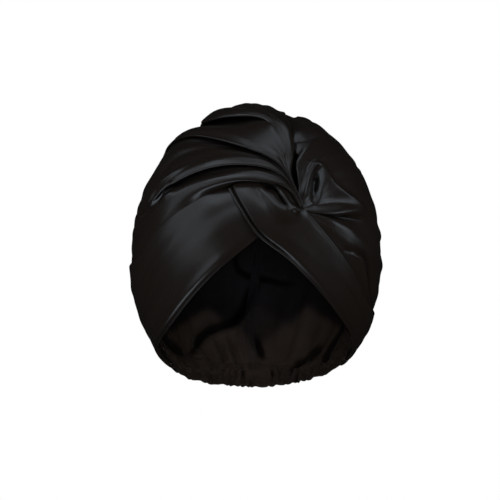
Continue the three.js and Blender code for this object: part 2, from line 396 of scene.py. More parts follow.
@dataclass(frozen=True)
class Gathers:
    """Puckers of a gathered seam, as a lift that depends on the compass angle."""

    seed: int
    rise: float
    narrow: Point
    wide: Point
    close_reach: float
    far_reach: float
    fade: float = 1.3
    count: int = 7
    level: float = 2.2

    def waves(self, angle: Array, span: Point, seed: int) -> Array:
        """Uneven waves of a range of widths, in degrees."""
        draw = np.random.default_rng(seed)
        total = np.zeros_like(angle)
        for _ in range(self.count):
            width = draw.uniform(*span)
            total = total + np.sin(2 * math.pi * angle / width + draw.uniform(0, 2 * math.pi))
        return total / self.level

    def close(self, angle: Array) -> Array:
        """Small puckers right at the seam."""
        return self.rise * self.waves(angle, self.narrow, self.seed)

    def far(self, angle: Array) -> Array:
        """Wider puckers that run on into the cloth."""
        return self.rise * self.waves(angle, self.wide, self.seed + 1)

    def push(self, angle: Array, away: Array) -> Array:
        """Lift of all the puckers at distances from the seam in millimetres."""
        near = self.close(angle) * np.exp(-away / self.close_reach)
        return near + self.far(angle) * np.exp(-((away / self.far_reach) ** self.fade))


CROWN_GATHERS = Gathers(5, 0.8, narrow=(2.4, 4.2), wide=(5.0, 9.0), close_reach=7.0, far_reach=26.0)
NAPE_GATHERS = Gathers(9, 1.0, narrow=(3.6, 7.0), wide=(7.0, 14.0), close_reach=8.0, far_reach=24.0)


@dataclass(frozen=True)
class Net:
    """The nodes of a material, with short ways to add and join them."""

    tree: bpy.types.NodeTree

    RANGE = ("From Min", "From Max", "To Min", "To Max")

    def add(self, kind: str, values: dict[str, float] | None = None, operation: str = "") -> bpy.types.Node:
        """Add a node.

        Args:
            kind: The node's kind.
            values: Values of its inputs, by name.
            operation: What a math node does.

        Returns:
            The node.
        """
        node = self.tree.nodes.new(f"ShaderNode{kind}")
        if operation:
            node.operation = operation
        for name, value in (values or {}).items():
            node.inputs[name].default_value = value
        return node

    def join(self, start: Socket, end: Socket) -> None:
        """Lead an output into an input."""
        self.tree.links.new(start, end)

    def product(self, first: Socket, second: Socket) -> Socket:
        """Output that multiplies two others."""
        times = self.add("Math", operation="MULTIPLY")
        self.join(first, times.inputs[0])
        self.join(second, times.inputs[1])
        return times.outputs["Value"]

    def ranged(self, value: Socket, source: Point, target: Point) -> Socket:
        """Output that brings a value from one range to another."""
        node = self.add("MapRange", dict(zip(self.RANGE, (*source, *target))))
        self.join(value, node.inputs["Value"])
        return node.outputs["Result"]


@dataclass(frozen=True)
class SatinFinish:
    """Black satin: a smooth face with a soft broad shine and a fine weave, its colour darkened by painted
    shade in creases and folds.

    Each noise has its patches in 100 mm of cloth, across and along, and its detail.
    """

    name: str
    roughness: Point
    shade: Triple = (0.0170, 0.0130, 0.0110)
    bloom: Triple = (0.0205, 0.0160, 0.0136)
    tone_stops: Point = (0.3, 0.75)
    slub: tuple[Triple, float] = ((9.0, 1.2, 1.0), 3.0)
    grain: tuple[Triple, float] = ((60.0, 14.0, 1.0), 2.0)
    crumple: tuple[Triple, float] = ((26.0, 9.0, 1.0), 3.0)
    crumple_strength: float = 0.10
    crumple_rise: float = 0.0006
    weave_scale: float = 100.0 / 9.0
    weave_strength: float = 0.10
    weave_rise: float = 0.00006
    # The next four values set painted shade: the base colour darkens in creases by ambient occlusion.
    shade_ao_reach: float = 0.009
    shade_ao_samples: int = 6
    shade_ao_range: Point = (0.38, 0.88)
    painted_crease_shade: float = 0.12
    # The next two values paint shade on the inner face, darker in the back's deep folds.
    painted_inner_shade: float = 0.25
    painted_shade_inner_range: Point = (0.1, 0.4)

    SHINE = (
        ("Metallic", 0.0),
        ("IOR", 1.5),
        ("Specular IOR Level", 0.5),
        ("Sheen Weight", 0.02),
        ("Sheen Roughness", 0.4),
    )

    def material(self) -> bpy.types.Material:
        """Make the satin's material once, and find it again later.

        Returns:
            The material.
        """
        found = bpy.data.materials.get(self.name)
        if found is not None:
            return found
        satin = bpy.data.materials.new(self.name)
        satin.use_nodes = True
        net = Net(satin.node_tree)
        shader = satin.node_tree.nodes["Principled BSDF"]
        for name, value in self.SHINE:
            shader.inputs[name].default_value = value
        cloth = net.add("UVMap")
        cloth.uv_map = "weave"
        place = cloth.outputs["UV"]
        net.join(self.colour(net, place), shader.inputs["Base Color"])
        grain = self.noise(net, place, *self.grain)
        net.join(net.ranged(grain, (0.0, 1.0), self.roughness), shader.inputs["Roughness"])
        net.join(self.relief(net, place), shader.inputs["Normal"])
        return satin

    def colour(self, net: Net, place: Socket) -> Socket:
        """Add the cloth's black, darkened by painted shade: by ambient occlusion in creases, and on the
        inner face in the back's deep folds.

        Args:
            net: The material's nodes.
            place: The cloth's own coordinates.

        Returns:
            The output with the colour.
        """
        tone = net.add("ValToRGB")
        for k, dye in enumerate((self.shade, self.bloom)):
            tone.color_ramp.elements[k].position = self.tone_stops[k]
            tone.color_ramp.elements[k].color = (*dye, 1)
        net.join(self.noise(net, place, *self.slub), tone.inputs["Fac"])
        # Painted shade: ambient occlusion darkens the base colour in creases and hollows.
        fold = net.add("AmbientOcclusion", {"Distance": self.shade_ao_reach})
        fold.samples = self.shade_ao_samples
        fold.only_local = True
        deep = net.ranged(fold.outputs["AO"], self.shade_ao_range, (self.painted_crease_shade, 1.0))
        # Painted shade: the inner face goes darker in the back's deep folds, by a mask kept on each point.
        depth = net.add("Attribute")
        depth.attribute_name = "painted_shade_mask"
        inner = net.product(depth.outputs["Fac"], self.inside(net))
        shade = net.ranged(inner, (0.0, 1.0), (1.0, self.painted_inner_shade))
        black = net.add("VectorMath", operation="SCALE")
        net.join(tone.outputs["Color"], black.inputs[0])
        net.join(net.product(deep, shade), black.inputs["Scale"])
        return black.outputs["Vector"]

    def relief(self, net: Net, place: Socket) -> Socket:
        """Add the weave and a faint crumple.

        Args:
            net: The material's nodes.
            place: The cloth's own coordinates.

        Returns:
            The output with the normal.
        """
        weave = net.add("TexWave", {"Scale": self.weave_scale, "Distortion": 1.5, "Detail": 1.0})
        weave.wave_type = "BANDS"
        weave.bands_direction = "DIAGONAL"
        net.join(place, weave.inputs["Vector"])
        fine = net.add("Bump", {"Strength": self.weave_strength, "Distance": self.weave_rise})
        net.join(weave.outputs["Fac"], fine.inputs["Height"])
        soft = net.add("Bump", {"Strength": self.crumple_strength, "Distance": self.crumple_rise})
        net.join(self.noise(net, place, *self.crumple), soft.inputs["Height"])
        net.join(fine.outputs["Normal"], soft.inputs["Normal"])
        return soft.outputs["Normal"]

    def inside(self, net: Net) -> Socket:
        """Add nodes that tell the cloth's inner face from its outer one, so that the painted shade of deep
        folds falls on the inner face alone.

        Args:
            net: The material's nodes.

        Returns:
            The output that gives 1 on the inner face and 0 on the outer one.
        """
        spot = net.add("TexCoord")
        out = net.add("VectorMath", operation="SUBTRACT")
        out.inputs[1].default_value = (0, 0, FORM.centre_height * METRES)
        net.join(spot.outputs["Object"], out.inputs[0])
        way = net.add("VectorMath", operation="NORMALIZE")
        net.join(out.outputs["Vector"], way.inputs[0])
        facing = net.add("VectorMath", operation="DOT_PRODUCT")
        net.join(way.outputs["Vector"], facing.inputs[0])
        net.join(spot.outputs["Normal"], facing.inputs[1])
        return net.ranged(facing.outputs["Value"], self.painted_shade_inner_range, (1.0, 0.0))

    def noise(self, net: Net, place: Socket, scale: Triple, detail: float) -> Socket:
        """Add a noise texture that is stretched on the cloth.

        Args:
            net: The material's nodes.
            place: The cloth's own coordinates.
            scale: How many patches lie in 100 mm of cloth, across and along.
            detail: How much finer noise is mixed in.

        Returns:
            The output with the noise.
        """
        stretch = net.add("Mapping", {"Scale": scale})
        net.join(place, stretch.inputs["Vector"])
        noise = net.add("TexNoise", {"Scale": 1.0, "Detail": detail})
        net.join(stretch.outputs["Vector"], noise.inputs["Vector"])
        return noise.outputs["Fac"]


@dataclass
class ClothPiece:
    """A sheet of satin with a rounded rim, made from a grid of cells."""

    node: str
    slot: str
    finish: SatinFinish
    wall: float
    cells: tuple[int, int]
    span: Point
    flat: Point
    held: Held
    rests_on: tuple[str, ...]

    def depth(self, across: Array, along: Array) -> Array:
        """How deep in a fold the grid lies, from 0 to 1, as the mask of painted shade."""
        return np.zeros((len(across), len(along)))

    def surface(self, across: Array, along: Array) -> Array:
        """Middle surface of the sheet in millimetres, over a grid of shares."""
        raise NotImplementedError

    def build(self) -> bpy.types.Object:
        """Make the sheet, dress it and put it in the frame.

        Returns:
            The finished object.
        """
        across = rimmed(self.cells[0], self.wall / 2 / self.span[0])
        along = rimmed(self.cells[1], self.wall / 2 / self.span[1])
        places = self.surface(across, along) * METRES
        mesh = self.grid(across, along, places)
        piece = bpy.data.objects.new(f"{self.node}_satin", mesh)
        bpy.context.scene.collection.objects.link(piece)
        self.thicken(piece, across, along)
        mesh.materials.append(self.finish.material())
        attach(piece, "root")
        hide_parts(self.node)
        return piece

    def grid(self, across: Array, along: Array, places: Array) -> bpy.types.Mesh:
        """Shape a flat grid into the sheet.

        Args:
            across: Cell lines across the piece.
            along: Cell lines along the piece.
            places: Where each crossing goes, in metres.

        Returns:
            The sheet's mesh, with its weave map.
        """
        bm = bmesh.new()
        bmesh.ops.create_grid(bm, x_segments=len(across) - 1, y_segments=len(along) - 1, size=1.0)
        bm.verts.ensure_lookup_table()
        flat = np.array([vert.co[:2] for vert in bm.verts])
        column = np.rint((flat[:, 0] + 1) / 2 * (len(across) - 1)).astype(int)
        row = np.rint((flat[:, 1] + 1) / 2 * (len(along) - 1)).astype(int)
        for vert, place in zip(bm.verts, places[column, row]):
            vert.co = place
        bm.normal_update()
        centre = Vector((0, 0, FORM.centre_height * METRES))
        facing = sum((face.normal.dot(face.calc_center_median() - centre) for face in bm.faces), 0.0)
        if facing < 0:
            bmesh.ops.reverse_faces(bm, faces=bm.faces)
        for face in bm.faces:
            face.smooth = True
        mesh = bpy.data.meshes.new(f"{self.node}_satin")
        bm.to_mesh(mesh)
        bm.free()
        corners = np.zeros(len(mesh.loops), int)
        mesh.loops.foreach_get("vertex_index", corners)
        weave = np.stack([across[column] * self.span[0], along[row] * self.span[1]], -1) / 100
        layer = mesh.uv_layers.new(name="weave")
        layer.data.foreach_set("uv", weave[corners].ravel())
        # Mask of the painted shade in deep folds, kept on each point.
        deep = mesh.attributes.new("painted_shade_mask", "FLOAT", "POINT")
        deep.data.foreach_set("value", self.depth(across, along)[column, row])
        return mesh

    def thicken(self, piece: bpy.types.Object, across: Array, along: Array) -> None:
        """Give the sheet its thickness, rounded off towards the rim.

        Args:
            piece: The sheet's object.
            across: Cell lines across the piece.
            along: Cell lines along the piece.
        """
        edge_across = np.minimum(across, 1 - across) * self.span[0]
        edge_along = np.minimum(along, 1 - along) * self.span[1]
        edge = np.minimum(edge_across[:, None], edge_along[None, :]) / (self.wall / 2)
        full = np.sqrt(1 - (1 - np.minimum(1, edge)) ** 2)
        group = piece.vertex_groups.new(name="wall")
        order = np.round(full, 3).T.ravel()
        for weight in np.unique(order):
            group.add(np.flatnonzero(order == weight).tolist(), float(weight), "REPLACE")
        wall = piece.modifiers.new("wall", "SOLIDIFY")
        wall.thickness = self.wall * METRES
        wall.offset = 0.0
        wall.use_even_offset = False
        wall.use_quality_normals = True
        wall.vertex_group = group.name
        wall.thickness_vertex_group = 0.03


@dataclass
class FrontPiece(ClothPiece):
    """A band or drape that runs from the twist to the crown seam over its folds."""

    folds: tuple[Fold, ...]
    ripple: Ripple
    pleats: tuple[Pleat, ...] = ()
    creases: tuple[Crease, ...] = ()
    gather: float = 1.0
    calm_edge: float = 6.0
    calm_twist: float = 12.0
    calm_seam: float = 8.0
    least_gap: float = 0.05
    least_row: float = 2.5
    full_spread: float = 0.8

    def surface(self, across: Array, along: Array) -> Array:
        """Spread the cloth over its folds.

        Args:
            across: Cell lines from the first fold to the last.
            along: Cell lines from the twist to the crown seam.

        Returns:
            The middle surface in millimetres.
        """
        spots = np.stack([fold.guide(along) for fold in self.folds])
        lifts = np.stack([fold.lift_at(along) for fold in self.folds])
        reach = np.linalg.norm(spots, axis=-1)
        angle = np.arctan2(spots[..., 1], spots[..., 0])
        angle = np.where(angle < -QUARTER, angle + 4 * QUARTER, angle)
        flat_steps = np.diff(spots, axis=0) * CHART_MM
        steps = np.concatenate([flat_steps, np.diff(lifts, axis=0)[..., None]], -1)
        gaps = np.linalg.norm(steps, axis=-1) + self.least_gap
        width = gaps.mean(1) + self.least_row
        numbers = np.arange(len(self.folds))
        rows = np.interp(across, np.concatenate([[0], np.cumsum(width)]) / width.sum(), numbers)
        knots = np.concatenate([np.zeros((1, len(along))), np.cumsum(np.sqrt(gaps), axis=0)])
        reach = self.blend(knots, reach, rows)
        angle = self.blend(knots, angle, rows)
        lift = self.blend(knots, lifts, rows)
        spot = np.stack([reach * np.cos(angle), reach * np.sin(angle)], -1)

        cloth = np.concatenate([[0], np.cumsum(gaps.mean(1))])
        run = np.interp(rows, numbers, cloth)[:, None]
        far = along[None, :] * self.span[1]
        spread = np.minimum(1, gaps.sum(0) / (self.full_spread * gaps.sum(0).max()))[None, :]
        calm = ease(run / self.calm_edge) * ease((cloth[-1] - run) / self.calm_edge)
        calm = calm * ease(far / self.calm_twist)
        seam_calm = ease((self.span[1] - far) / self.calm_seam)
        lift = lift + self.ripple.push(run, far) * calm * spread * seam_calm
        reaches = np.concatenate([np.zeros((1, len(along))), np.cumsum(gaps, axis=0)])
        for pleat in self.pleats:
            lift = lift + pleat.push(reaches, rows, along)
        for crease in self.creases:
            lift = lift + crease.push(spot * CHART_MM)
        seam = np.interp(rows, numbers, [fold.seam for fold in self.folds])
        left = (1 - along[None, :]) * self.span[1]
        lift = lift + self.gather * seam_pucker(seam[:, None], left)
        return FORM.place(spot, lift, Pole.FRONT)

    def blend(self, knots: Array, values: Array, rows: Array) -> Array:
        """Blend values of the folds smoothly across the piece.

        Args:
            knots: Place of each fold at each cell line, rising.
            values: Value of each fold at each cell line.
            rows: Fold numbers to read, with fractions between folds.

        Returns:
            The values at each row and cell line.
        """
        gaps = np.diff(knots, axis=0)
        slopes = np.diff(values, axis=0) / gaps
        inner = (slopes[:-1] * gaps[1:] + slopes[1:] * gaps[:-1]) / (gaps[:-1] + gaps[1:])
        inner = np.concatenate([slopes[:1], inner, slopes[-1:]])
        first = np.minimum(rows.astype(int), len(values) - 2)
        share = (rows - first)[:, None]
        return hermite(values[first], values[first + 1], inner[first], inner[first + 1], gaps[first], share)


def seam_pucker(angle: Array, away: Array) -> Array:
    """Lift of the crown seam's gathers.

    Args:
        angle: Compass angle at the seam, in degrees.
        away: Distance from the seam in millimetres.

    Returns:
        The lifts, alike on both sides of the seam.
    """
    return CROWN_GATHERS.push(np.mod(angle, 360), away)


def shift(path: tuple[Point, ...], right: float, up: float) -> tuple[Point, ...]:
    """A path moved in the front view."""
    return tuple((x + right, z + up) for x, z in path)


LEFT_SEAM = ((-27, 145), (-42, 141), (-58, 131), (-75, 114.5), (-91, 98), (-102, 82))
RIGHT_SEAM = ((42, 123.5), (54, 110), (68, 92.5), (84, 69), (95, 45))

LEFT_BAND = (
    Fold("face edge", 231, (-3, -2.6, -1.2, -0.8, -0.6, -0.4, 0),
         ((11, 107), (-5, 94.5), (-38, 66.5), (-67, 32), (-83, 0))),
    Fold("roll", 227, (-3, -2.4, 0.4, 1.2, 1.4, 1.2, 0.4),
         ((9, 111), (-8, 98.5), (-41, 71), (-70, 36), (-86, 5))),
    Fold("lower middle", 216, (-3, -1.4, 0.2, 1.2, 1.8, 1.4, 0.5),
         ((4, 120), (-14, 110), (-49, 85), (-79, 51), (-93, 24))),
    Fold("upper middle", 200, (-3, -1.4, 0.2, 1.2, 2.4, 2.8, 1.2),
         ((-3, 130), (-20, 127), (-58, 106), (-87, 78), (-101, 52))),
    Fold("upper edge", 184, (-3, -2.2, 0.9, 1.9, 2.4, 3, 1.2),
         ((-10, 146), (-22, 147.5), (-32, 143.2), *shift(LEFT_SEAM[1:], 0.3, -0.6))),
)

RIGHT_BAND = (
    Fold("face edge", -46, (0.8, 1, 0.8, 0.2, -0.6, -0.6, 0),
         ((-23.5, 141), (-14, 124), (2, 101), (32, 77), (66, 38.5), (82, 9))),
    Fold("roll", -43, (0.8, 1.8, 2.0, 1.6, 1.4, 0.8, 0.2),
         ((-18, 145.5), (-9, 127), (6, 105), (35, 81.5), (69, 42.5), (85, 12))),
    Fold("lower middle", -37, (1.2, 2.2, 2.2, 2, 2.2, 2, 0.8),
         ((-4, 150), (-1, 140), (7, 125), (20, 105), (45, 84), (76, 50), (90, 20))),
    Fold("tucked fold", -31, (1.2, 1.6, 1.8, 2.0, 2.8, 3.4, 1.4),
         ((12, 151), (15, 140), (24, 126), (36, 106.5), (57, 83.5), (80, 57), (94, 28))),
    Fold("upper edge", -22, (1.2, 1.4, 1.6, 1.6, 2.2, 3.0, 1.2),
         ((26, 148), (33, 136), *shift(RIGHT_SEAM, -0.4, -0.5))),
)

LEFT_DRAPE = (
    Fold("lower edge", 187, (4.5, 5, 4.6, -0.6, 0.2, 0.9, -0.9),
         ((37.4, 125.4), (26, 141.5), (4, 149.5), (-12, 149), (-25, 143), (-38.5, 137.5),
          *shift(LEFT_SEAM[2:], 4.2, -5.2))),
    Fold("low hem", 184, (5, 7.2, 8.6, 6.4, 3.8, 0.9, -0.4),
         ((37.5, 125.5), (26.4, 142.3), (3, 147.4), (-26, 146), (-62, 132), (-84, 112))),
    Fold("low crest", 179, (5, 7.4, 9.6, 8.4, 4.6, 1.2, 0),
         ((37.7, 125.7), (26.2, 144.5), (1, 154.5), (-27, 151), (-60, 141), (-87, 122))),
    Fold("low valley", 176, (5, 6.4, 7.2, 4.8, 2.0, 1.4, 0),
         ((38, 125.8), (25.8, 146), (3, 157.2), (-28, 155.2), (-61, 145.4), (-87, 125.5))),
    Fold("middle root", 174, (5, 6.4, 7.0, 5.4, 3.2, 1.8, 0.2),
         ((38.1, 125.9), (25.9, 147.5), (4, 161), (-29, 161.2), (-63, 149.2), (-87.5, 127))),
    Fold("middle crest", 171, (5, 7.8, 9.6, 9.2, 6.4, 1.0, 0.4),
         ((38.3, 126), (25.5, 149), (6, 159.4), (-32, 160.2), (-66, 147.4), (-88, 128))),
    Fold("middle brow", 168, (5, 8.2, 10.4, 10.2, 7.4, 1.4, 0.6),
         ((38.35, 126.05), (25.7, 149.8), (7.5, 162.6), (-31, 164.8), (-66.5, 151.4), (-88.5, 131))),
    Fold("middle face", 160, (5, 7.6, 8.6, 7, 4, 1.8, 0.4),
         ((38.5, 126.2), (26.1, 150.4), (9, 165.2), (-28, 173), (-66, 165), (-86, 147))),
    Fold("upper shelf", 146, (5, 6.8, 6.8, 5.2, 3.8, 1.2, -1.2),
         ((38.6, 126.3), (26.3, 151.2), (10, 166.4), (-25, 178), (-60, 181), (-76, 172))),
    Fold("upper root", 143, (5, 7, 7.4, 6.8, 5.8, 2.4, -0.6),
         ((38.7, 126.4), (26.5, 152.2), (11, 169.6), (-24, 183.5), (-59, 187.5), (-73, 178.5))),
    Fold("upper crest", 139, (5.2, 8.6, 11, 11, 8.6, 3.8, 1.0),
         ((38.8, 126.6), (26.7, 152), (11, 167.6), (-24, 180), (-59, 184), (-74.5, 176))),
    Fold("upper brow", 133, (5.2, 9.0, 11.8, 11.9, 9.5, 4.7, 1.6),
         ((38.9, 126.7), (26.8, 152.6), (12.5, 170.6), (-22, 184.4), (-56.5, 188), (-71, 181))),
    Fold("upper face", 126, (5.2, 8.9, 11, 10.8, 7, 3.2, 1.2),
         ((39, 126.8), (27.0, 153.5), (15, 173.5), (-16, 189), (-50, 192), (-62, 188))),
    Fold("crown shelf", 120, (5.2, 9, 11, 10.8, 0.6, -3, -2),
         ((39.1, 126.9), (27.2, 155), (17, 179), (-1, 195.5), (-30, 194.5), (-50, 191.5))),
    Fold("crown root", 118, (5.2, 9, 11, 10.8, 2.0, -1.4, -1.4),
         ((39.2, 126.95), (27.3, 155.8), (19.5, 180), (5, 199), (-26, 203), (-47, 199))),
    Fold("crown crest", 114, (5.2, 9, 10.9, 10.4, 8, 1.8, -0.4),
         ((39.3, 127), (27.5, 156.5), (21, 181), (7, 199.5), (-24, 200.5), (-46, 197))),
    Fold("crown brow", 110, (5.2, 9, 10.9, 11.2, 10.4, 4.4, 0.4),
         ((39.35, 127.05), (27.65, 156.3), (22.6, 181), (9.5, 202), (-20, 205.3), (-43, 201.4))),
    Fold("crown face", 104, (5.2, 9, 10.8, 11.2, 9.6, 4.4, 0.6),
         ((39.4, 127.1), (27.8, 156), (24.5, 180), (13, 199), (-12, 207))),
    Fold("right ridge", 92, (5.2, 8.6, 10.4, 11, 9.4, 4.5, 0.8),
         ((39.6, 127.2), (28.8, 154), (30.6, 172), (29.5, 183), (25.5, 194), (4, 208.5))),
    Fold("right edge", 77, (4.5, -1, -4, 1.0, 1.6, -1.6, -1.6),
         ((40, 127.5), (33.3, 140.7), (29.3, 154), (30.6, 166), (32, 178), (29.5, 192), (26, 203))),
)

RIGHT_DRAPE = (
    Fold("tucked edge", 86, (-0.4, -0.6, 0, -3.5, -4.8, -7, -7.5),
         ((32.4, 127), (24.5, 145), (19.5, 160), (18, 172), (15.5, 190), (11, 202))),
    Fold("under edge", 82, (-0.4, -9, -12, -5.2, -4.6, -7, -7.5),
         ((33, 126.7), (31, 144), (28, 156), (28.5, 167), (29.5, 180), (26, 195))),
    Fold("gap", 77, (-0.4, -15, -12, 2.0, -1.2, -4.4, -3),
         ((33.6, 126.4), (37.2, 142), (37, 153), (34.2, 165), (34, 172), (33.4, 180), (31, 198))),
    Fold("gap lip", 70, (-0.4, 0.8, 2.4, 2.6, 1.4, 1.4, 0),
         ((34.2, 125.9), (36.2, 140), (34.9, 152), (34.2, 163), (40, 174), (48, 185), (50, 194))),
    Fold("left face", 68, (-0.4, 1.2, 2.8, 3.0, 1.8, 1.8, 0.2),
         ((34.4, 125.8), (37.1, 140), (35.9, 152), (35.3, 163), (41, 173), (49, 184), (51.5, 193))),
    Fold("left limb", 58, (-0.4, 0.6, 1.4, 1.2, 1.4, 2.0, 0.8),
         ((34.8, 125.4), (41, 143), (44.5, 154), (50, 163), (60, 171), (68, 178))),
    Fold("dimple", 46, (-0.4, -1, -0.4, 0.4, 1.8, 2.4, 0.8),
         ((35.3, 124.7), (46.8, 139), (50, 149), (53.5, 157), (63, 166), (80, 171))),
    Fold("tent face", 26, (-0.4, -1.4, -0.8, 0.6, 2.2, 2.4, 0.8),
         ((35.8, 123.9), (52, 134.5), (64, 142.5), (80, 149), (93, 150))),
    Fold("tent floor", 16, (-0.4, -1.6, -1.6, -0.4, 2, 2, 0.7),
         ((36, 123.4), (52, 127.2), (66, 129.4), (84, 128.5), (97, 131))),
    Fold("bottom limb", 10, (-0.4, 1.0, 2.2, 2.8, 2.2, 1.8, 0.6),
         ((36.2, 122.9), (52, 121), (66, 119.6), (84, 121), (98, 119))),
    Fold("side valley", 3, (-0.4, -0.6, -1.2, -0.8, 0.4, 1, 0.4),
         ((36.6, 122.1), (52, 119.3), (66, 117), (82, 114.5), (98, 107))),
    Fold("side brow", -3, (-0.4, 0.6, 3.2, 4.4, 4, 2, 0.3),
         ((36.8, 121.8), (53, 118.3), (64.5, 114.3), (79, 106.3), (95, 93.5))),
    Fold("side crest", -8, (-0.4, 0.8, 3.6, 4.8, 4.2, 2, 0.2),
         ((37, 121.4), (52, 116.5), (61, 111.5), (74.5, 101.5), (91, 87.5), (98.5, 79))),
    Fold("lower edge", -27, (-0.4, -1.2, -0.8, -0.8, -0.4, 0.4, -1.4),
         ((37.4, 120.5), *shift(RIGHT_SEAM[1:], -4.4, -4.4))),
)

LEFT_BAND_PLEATS = (
    Pleat("face roll", 0.95, (0, 0, 0.8, 1.3, 1.5, 1.2, 0.3), 3.0, 5.0),
)

RIGHT_BAND_PLEATS = (
    Pleat("lip", 0.10, (0.8, 1.2, 1.0, 0.4, 0.2, 0.1, 0), 1.0, 1.2),
    Pleat("lip crease", 0.50, (-1.6, -2.0, -1.8, -0.8, 0, 0, 0), 1.0, 1.6),
    Pleat("face roll", 0.9, (0, 0, 0, 0.5, 0.8, 0.6, 0.2), 3.0, 5.0),
)

LEFT_DRAPE_PLEATS = (
    Pleat("upper lip", 10.1, (0, 0.2, 0.4, 0.6, 0.6, 0.4, 0), 1.4, 1.8),
    Pleat("middle lip", 5.1, (0, 0.2, 0.4, 0.6, 0.6, 0.6, 0), 1.4, 1.8),
    Pleat("thin pleat", 7.5, (0, 0.7, 0.7, 0.3, 0, 0, 0), 1.0, 1.0),
)

LEFT_DRAPE_CREASES = (
    Crease("hairpin", ((-50, 159), (-68, 148.8), (-80, 139.5), (-85.5, 131.5), (-87.5, 126),
                       (-84.5, 127.4), (-80.8, 131.6), (-74, 136.7), (-68.8, 140), (-60, 141)),
           (0, 0.8, 1.8, 2.4, 2.2, 2.2, 2.2, 1.8, 1.2, 0), 2.4, 2.4),
    Crease("small facet", ((-77, 128.5), (-71, 134), (-65, 138)), (0.6, 2.4, 2.4, 0.6), 6.0, 3.0, 1.6),
)

RIGHT_BAND_CREASES = (
    Crease("finger lower limb", ((6, 141), (13.5, 131), (19.5, 124.4), (27.3, 120.6), (31.5, 121.4)),
           (0, 1.4, 3.0, 4.4, 3.6), 4.0, 7.0, 2.4),
    Crease("finger upper limb", ((18.5, 140.5), (22.8, 134), (26, 128.2), (29.4, 123.8), (32, 121.5)),
           (0.4, 1.4, 2.4, 3.4, 3.0), 2.2, 2.2),
    Crease("finger furrow", ((12, 144), (17, 139.5), (20, 134), (23.8, 128), (27.4, 124.2)),
           (-2.0, -2.6, -2.8, -2.6, -0.8), 1.3, 1.3),
    Crease("finger side", ((0, 141), (6, 131.5), (13, 122)), (-0.8, -1.4, -0.6), 3.0, 4.0),
    Crease("hole", ((5, 146), (11, 142.5), (16, 140)), (-1, -5, -2.4), 2.6, 3.0),
)

RIGHT_DRAPE_CREASES = (
    Crease("tent's left limb", ((39, 129), (40, 136.4), (41.6, 145), (44, 153.6), (47.4, 159),
                                (51.4, 160.8), (55, 159.4)),
           (0, 1.4, 1.8, 2.0, 2.0, 1.8, 0.6), 2.6, 3.2),
    Crease("tent's dimple", ((47.5, 130), (50, 137), (51, 145), (51.4, 152), (51.6, 156)),
           (-0.6, -3.4, -5.6, -5.6, -2), 3.8, 4.0, 2.6),
    Crease("facet's furrow", ((28, 179.5), (36, 180), (44, 180.8), (54, 183.5)),
           (-3.2, -3, -1.8, 0), 10.0, 1.0),
    Crease("right limb", ((51.4, 161), (55.7, 158.7), (61.5, 149.3), (66.5, 142.2), (73.7, 136.4),
                          (82.3, 130.7), (88, 125.7), (89.8, 122.5)),
           (1.2, 2.4, 3.2, 3.4, 3.4, 3.0, 2.2, 0.8), 3.4, 9.0, 1.2),
    Crease("side crease", ((74, 89), (81, 87), (88, 83.5), (90.5, 79), (92.5, 70.5), (94.5, 62),
                           (96, 52), (98, 32)),
           (-0.8, -2, -2.6, -2.6, -2.4, -2.2, -1.8, 0), 2.6, 2.0),
)


@dataclass(frozen=True)
class BackSag:
    """A soft fold of the back, along a line of the front view."""

    name: str
    start: Point
    end: Point
    push: float
    width: float

    def lift(self, seen: Array) -> Array:
        """Lift that the fold gives at front-view places."""
        first = np.array(self.start)
        way = np.array(self.end) - first
        share = np.clip((seen - first) @ way / (way @ way), 0, 1)
        away = np.linalg.norm(seen - first - share[..., None] * way, axis=-1) / self.width
        return self.push * np.exp(-away * away)


# Where the painted shade of the back's deep folds starts, and over what span it grows.
PAINTED_SHADE_START = 0.26
PAINTED_SHADE_SPAN = 0.46
SIDE_CALM = 14.0

BACK_SAGS = (
    BackSag("sag below the crown", (-26, 74), (46, 58), -6, 17),
    BackSag("right hanging fold", (4, 40), (54, 38), -2, 12),
    BackSag("right sweep", (22, -8), (60, 22), 3, 13),
    BackSag("crown sweep", (-60, 120), (40, 150), 3, 30),
)

# These folds push the cloth and also set where the painted shade of deep folds falls.
BACK_DEEPS = (
    Crease("winding fold", ((3, 59), (-5, 49), (-8, 41), (-12, 31.5), (-19, 23), (-29, 19), (-38, 16.5),
                            (-46.5, 11), (-53.5, 0), (-57.5, -4)),
           (3.6, 5.6, 6.4, 6.4, 6.4, 6.4, 6.4, 5.4, 2.6), 4.8, 4.8),
    Crease("arch", ((-11, 92), (-18.5, 78), (-16.3, 68.5), (-8, 63), (1.5, 61), (11, 59),
                    (23.5, 56), (36, 55), (46, 53)),
           (0.6, 1.2, 1.6, 1.6, 1.6, 1.4, 1.2, 0.8, 0), 2.6, 3.6),
    Crease("seam furrow", ((-3, 16), (1, 4), (6, -5), (12, -8)), (2, 7, 6, 1), 5.0, 5.6),
    Crease("first spoke", ((60, 10), (51, 0), (42.5, -7), (36, -11), (28.5, -19)),
           (1, 4.5, 6, 6, 4), 6.6, 6.6),
    Crease("second spoke", ((74, 19), (66.5, 7), (60.5, -4), (57.5, -12)), (4, 5, 5, 4), 5.4, 5.4),
    Crease("left corner fold", ((-79, 12), (-72, 5), (-64, -2)), (5, 6, 5), 7.0, 7.0),
)

BACK_CREASES = (
    Crease("winding ridge", ((-2, 47), (-3, 36), (-9, 24), (-19, 15), (-33, 10), (-44, 4)),
           (0, -3, -4, -4, -3, 0), 5.0, 8.0),
    Crease("left light sweep", ((-64, 12), (-50, 22), (-36, 29), (-25, 36)), (-1, -4, -5, -1), 9.0, 7.0),
    Crease("right hanging lip", ((8, 30), (23, 24), (38, 28), (50, 36), (60, 42)),
           (-0.5, -1.2, -1.2, -1.2, -0.5), 9.0, 5.0),
    Crease("casing stitch line", ((-60, -3), (-48, -8.4), (-35.5, -12), (-22, -12.8), (2, -13),
                                  (25, -12.5), (44, -9), (57, -4)),
           (0.6, 1.4, 1.4, 1.4, 1.4, 1.4, 1.2, 0.4), 1.4, 1.4),
)


NAPE_TURN = 270.0


